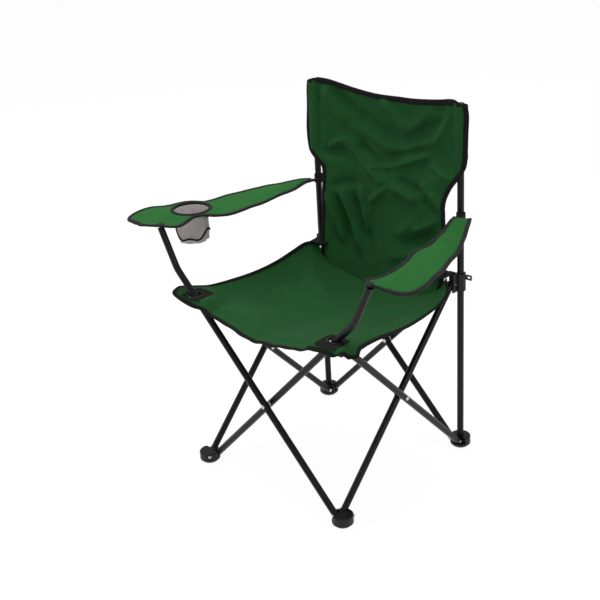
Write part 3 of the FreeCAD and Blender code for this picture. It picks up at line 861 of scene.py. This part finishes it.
left_inner = [(-0.330, -0.246, 0.6065), (-0.300, -0.236, 0.6075), (-0.272, -0.212, 0.607),
              (-0.277, -0.150, 0.6065),
              (-0.254, -0.112, 0.606), (-0.230, -0.080, 0.606), (-0.222, -0.043, 0.606),
              (-0.224, 0.022, 0.607),
              (-0.216, 0.100, 0.611), (-0.2225, 0.160, 0.615), (-0.2145, 0.201, 0.618)]
left_outer = [(-0.385, -0.247, 0.600), (-0.425, -0.236, 0.598), (-0.446, -0.205, 0.599),
              (-0.436, -0.155, 0.603),
              (-0.402, -0.108, 0.605), (-0.356, -0.050, 0.605), (-0.343, 0.010, 0.604),
              (-0.330, 0.060, 0.606),
              (-0.297, 0.121, 0.610), (-0.268, 0.165, 0.615), (-0.2290, 0.201, 0.619)]
right_inner = [(0.289, -0.196, 0.6065), (0.303, -0.168, 0.607), (0.303, -0.112, 0.606),
               (0.291, -0.068, 0.606),
               (0.279, -0.030, 0.606), (0.272, 0.020, 0.606), (0.266, 0.065, 0.606), (0.240, 0.139, 0.607),
               (0.2265, 0.176, 0.607), (0.2150, 0.2035, 0.6065)]
right_outer = [(0.330, -0.206, 0.6035), (0.376, -0.196, 0.5965), (0.397, -0.166, 0.594),
               (0.390, -0.108, 0.594),
               (0.374, -0.050, 0.593), (0.352, 0.010, 0.592), (0.329, 0.076, 0.594), (0.306, 0.121, 0.598),
               (0.280, 0.172, 0.603), (0.2540, 0.2175, 0.606)]
RING_CENTRE, RING_RADIUS = Vector((-0.327, -0.118)), 0.046


def at_cup(x, y, z):
    """True inside the cup ring."""
    return math.hypot(x - RING_CENTRE.x, y - RING_CENTRE.y) < RING_RADIUS - 0.001


def round_front(grid, rows, bulge):
    """Bow the front end of a strip forwards, so that its corners are rounded."""
    s = np.linspace(0, 1, grid.shape[1])[None, :]
    fall = 1 - ease(np.arange(grid.shape[0]), 0, rows)[:, None]
    grid[..., 1] -= bulge * np.sin(np.pi * s) ** 2 * fall
    return grid


arm_left_grid = arm_grid(left_inner, left_outer, across=44, along=120, crown=0.003)
arm_left_grid = round_front(arm_left_grid, 20, 0.006)
flat_ring = 1 - ease(np.hypot(arm_left_grid[..., 0] - RING_CENTRE.x, arm_left_grid[..., 1] - RING_CENTRE.y),
                     0.052, 0.075)
ring_low, ring_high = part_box("cup_ring")
RING_Z = (ring_low.z + ring_high.z) / 2
arm_left_grid[..., 2] = arm_left_grid[..., 2] * (1 - flat_ring) + RING_Z * flat_ring
arm_right_grid = arm_grid(right_inner, right_outer, crown=0.005, phase=2.0)
arm_right_grid = round_front(arm_right_grid, 18, 0.008)
arm_left = cloth_piece("arm_left_cloth", arm_left_grid, arm_cloth, 0.0014, drop=at_cup)
arm_right = cloth_piece("arm_right_cloth", arm_right_grid, arm_cloth, 0.0014)
arm_tape = {}
for side, grid in (("left", arm_left_grid), ("right", arm_right_grid)):
    rim = np.vstack([grid[::-1, 0], grid[0, 1:-1], grid[:, -1]])
    inner = np.vstack([grid[::-1, 2], grid[2, 1:-1], grid[:, -3]])
    toward = inner - rim
    toward /= np.linalg.norm(toward, axis=1)[:, None]
    arm_tape[side] = tape_over(f"arm_{side}_hem", rim, toward, 0.0080, 0.0030, finish=grey_tape)
for piece, side in ((arm_left, "left"), (arm_right, "right")):
    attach(piece, "arm_tip_" + side)
    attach(arm_tape[side], "arm_tip_" + side)
print("arms", arm_left.name, arm_right.name)

# %% [markdown]
# ## Webbing, patches and the cup holder
# Black webbing squares with rounded corners strengthen the cloth at the posts, straps tie the seat's rear
# corners to the sliders, and loops hold the arms' tails. The cup ring is a piped hoop with a mesh pouch that
# hangs from it, gathered and dented.

# %% Webbing made from plain blocks


def webbing(name, node, body, hole=None, hole_radius=0.0, puff=0.0008):
    """A soft rounded piece of webbing in the space of a frame node."""
    low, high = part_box(node)
    bpy.ops.object.select_all(action="DESELECT")
    bpy.ops.mesh.primitive_grid_add(x_subdivisions=28, y_subdivisions=28, size=1)
    piece = bpy.context.object
    piece.name = name
    middle, size = (low + high) / 2, high - low
    for v in piece.data.vertices:
        a, b = v.co.x * 2, v.co.y * 2
        pull = 1 - 0.10 * (abs(a) * abs(b)) ** 3
        edge = min(1 - abs(a), 1 - abs(b))
        rise = size.z * 0.35 + puff * math.sin(min(edge, 0.25) / 0.25 * math.pi / 2)
        stitch = -0.0004 if 0.09 < edge < 0.15 else 0.0
        v.co = (middle.x + a * pull * size.x / 2, middle.y + b * pull * size.y / 2, low.z + rise + stitch)
    piece.data.uv_layers[0].name = "UVMap"
    for entry in piece.data.uv_layers[0].uv:
        entry.vector = entry.vector * 0.062
    if hole:
        cut_places(piece, lambda x, y, z: math.hypot(x - hole.x, y - hole.y) < hole_radius)
    modifier = piece.modifiers.new("thickness", "SOLIDIFY")
    modifier.thickness = 0.0012
    bpy.ops.object.modifier_apply(modifier="thickness")
    bpy.ops.object.shade_smooth_by_angle(angle=math.radians(50))
    piece.data.materials.clear()
    piece.data.materials.append(tape_cloth)
    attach(piece, body)
    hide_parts(node)
    return piece


patches = [webbing("patch_left", "seat_patch_left", "hub_front_left", hub_left, POST_HOLE),
           webbing("patch_right", "seat_patch_right", "hub_front_right", hub_right, POST_HOLE)]
straps = [webbing("strap_left", "seat_strap_left", "slider_left"),
          webbing("strap_right", "seat_strap_right", "slider_right")]
print("webbing", [p.name for p in patches + straps])

# %% Loops that hold the arms' tails


def loop(name, node, body, side):
    """A band of webbing round an upright."""
    low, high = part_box(node)
    bpy.ops.object.select_all(action="DESELECT")
    turn = np.linspace(0, 2 * np.pi, 48, endpoint=False)
    centre = np.array([side * 0.2217, 0.2217])
    radius = 0.0098 + 0.0006 * np.sin(3 * turn)
    line = np.stack([centre[0] + radius * np.cos(turn), centre[1] + radius * np.sin(turn),
                     np.full(48, low.z + 0.001)], axis=1)
    up = np.tile([0.0, 0.0, 1.0], (48, 1))
    piece = tape_over(name, line, up, high.z - low.z - 0.002, 0.0016, finish=grey_tape, closed=True)
    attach(piece, body)
    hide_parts(node)
    return piece


loop("loop_left", "arm_loop_left", "rear_left", -1)
loop("loop_right", "arm_loop_right", "rear_right", 1)

# %% Cup ring and pouch
turn = np.linspace(0, 2 * np.pi, 72, endpoint=False)
ring_line = np.stack([RING_CENTRE.x + RING_RADIUS * np.cos(turn), RING_CENTRE.y + RING_RADIUS * np.sin(turn),
                      np.full(72, RING_Z)], axis=1)
outward = np.stack([np.cos(turn), np.sin(turn), np.zeros(72)], axis=1)
cup_ring = tape_over("cup_ring_tape", ring_line - outward * 0.002, outward, 0.0065, 0.0042, closed=True,
                     finish=grey_tape)
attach(cup_ring, "arm_tip_left")
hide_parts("cup_ring")
pouch_low, pouch_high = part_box("cup_pouch")
bpy.ops.object.select_all(action="DESELECT")
bpy.ops.mesh.primitive_grid_add(x_subdivisions=72, y_subdivisions=40, size=1)
pouch = bpy.context.object
pouch.name = "mesh_pouch"
tall = pouch_high.z - pouch_low.z
WALL_SHARE = 0.72           # how much of the netting's length is wall; the rest closes the bottom
for v in pouch.data.vertices:
    angle, depth = (v.co.x + 0.5) * 2 * math.pi, v.co.y + 0.5
    side_share = min(depth / WALL_SHARE, 1)
    radius = 0.0425 - 0.006 * side_share
    if depth > WALL_SHARE:
        radius *= max(0.02, 1 - ((depth - WALL_SHARE) / (1 - WALL_SHARE)) ** 1.4)
    radius += 0.0024 * math.sin(5 * angle + 4 * depth) * side_share * (1 if depth < 0.8 else 0.2)
    radius += 0.003 * noise.noise(Vector((3 * math.cos(angle), 3 * math.sin(angle), 7 * depth))) * side_share
    drop = tall * (0.97 * side_share ** 0.95) - 0.001
    drop += 0.004 * noise.noise(Vector((2 * math.cos(angle), 2 * math.sin(angle), 4.0))) * side_share
    v.co = (RING_CENTRE.x + radius * math.cos(angle), RING_CENTRE.y + radius * math.sin(angle),
            pouch_high.z - drop)
for entry in pouch.data.uv_layers[0].uv:
    entry.vector = (entry.vector[0] * 0.27, entry.vector[1] * 0.115)
pouch.data.uv_layers[0].name = "UVMap"
bpy.ops.object.mode_set(mode="EDIT")
bpy.ops.mesh.select_all(action="SELECT")
bpy.ops.mesh.remove_doubles(threshold=0.00002)
bpy.ops.mesh.normals_make_consistent(inside=False)
bpy.ops.object.mode_set(mode="OBJECT")
shell = pouch.modifiers.new("thickness", "SOLIDIFY")
shell.thickness = 0.0006
bpy.ops.object.modifier_apply(modifier="thickness")
bpy.ops.object.shade_smooth()
pouch.data.materials.clear()
pouch.data.materials.append(pouch_mesh)
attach(pouch, "arm_tip_left")
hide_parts("cup_pouch")
seam_z = pouch_low.z + 0.010
seam_line = np.stack([RING_CENTRE.x + 0.0408 * np.cos(turn), RING_CENTRE.y + 0.0408 * np.sin(turn),
                      seam_z + 0.010 + 0.009 * np.sin(2 * turn + 0.4) + 0.005 * np.sin(5 * turn)], axis=1)
upwards = np.tile([0.0, 0.0, 1.0], (72, 1))
pouch_seam = tape_over("pouch_seam", seam_line, upwards, 0.0030, 0.0018, closed=True)
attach(pouch_seam, "arm_tip_left")
print("cup holder ready")

# %% [markdown]
# ## Which body each piece of cloth moves with
# When the chair folds, real cloth bunches between the tubes. Here each piece of cloth is only tied to the
# body that it moves with, and the frame's own panels are hidden. The seat's two halves ride on the crossed
# tubes at the left, which lets them hang down, but they part in the middle.

seat_shares = (0.225, 0.200)
for part, hems, depth, body in zip(seat_parts, seat_hems, seat_shares, seat_bodies):
    for piece in [part] + hems:
        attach(piece, body)
        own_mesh(piece)
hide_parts("seat_panel")
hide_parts("back_panel")
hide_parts("arm_left")
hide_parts("arm_right")
for piece in [back, pockets[0], pockets[1]] + back_hems:
    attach(piece, "rear_left")
    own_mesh(piece)
for side, arm, lean, anchor in (("left", arm_left, 0.2, (-0.3139, -0.2267, 0.6)),
                                ("right", arm_right, -0.2, (0.3139, -0.2087, 0.6))):
    for piece in [arm, arm_tape[side]]:
        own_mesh(piece)
for piece in (cup_ring, pouch, pouch_seam):
    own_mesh(piece)
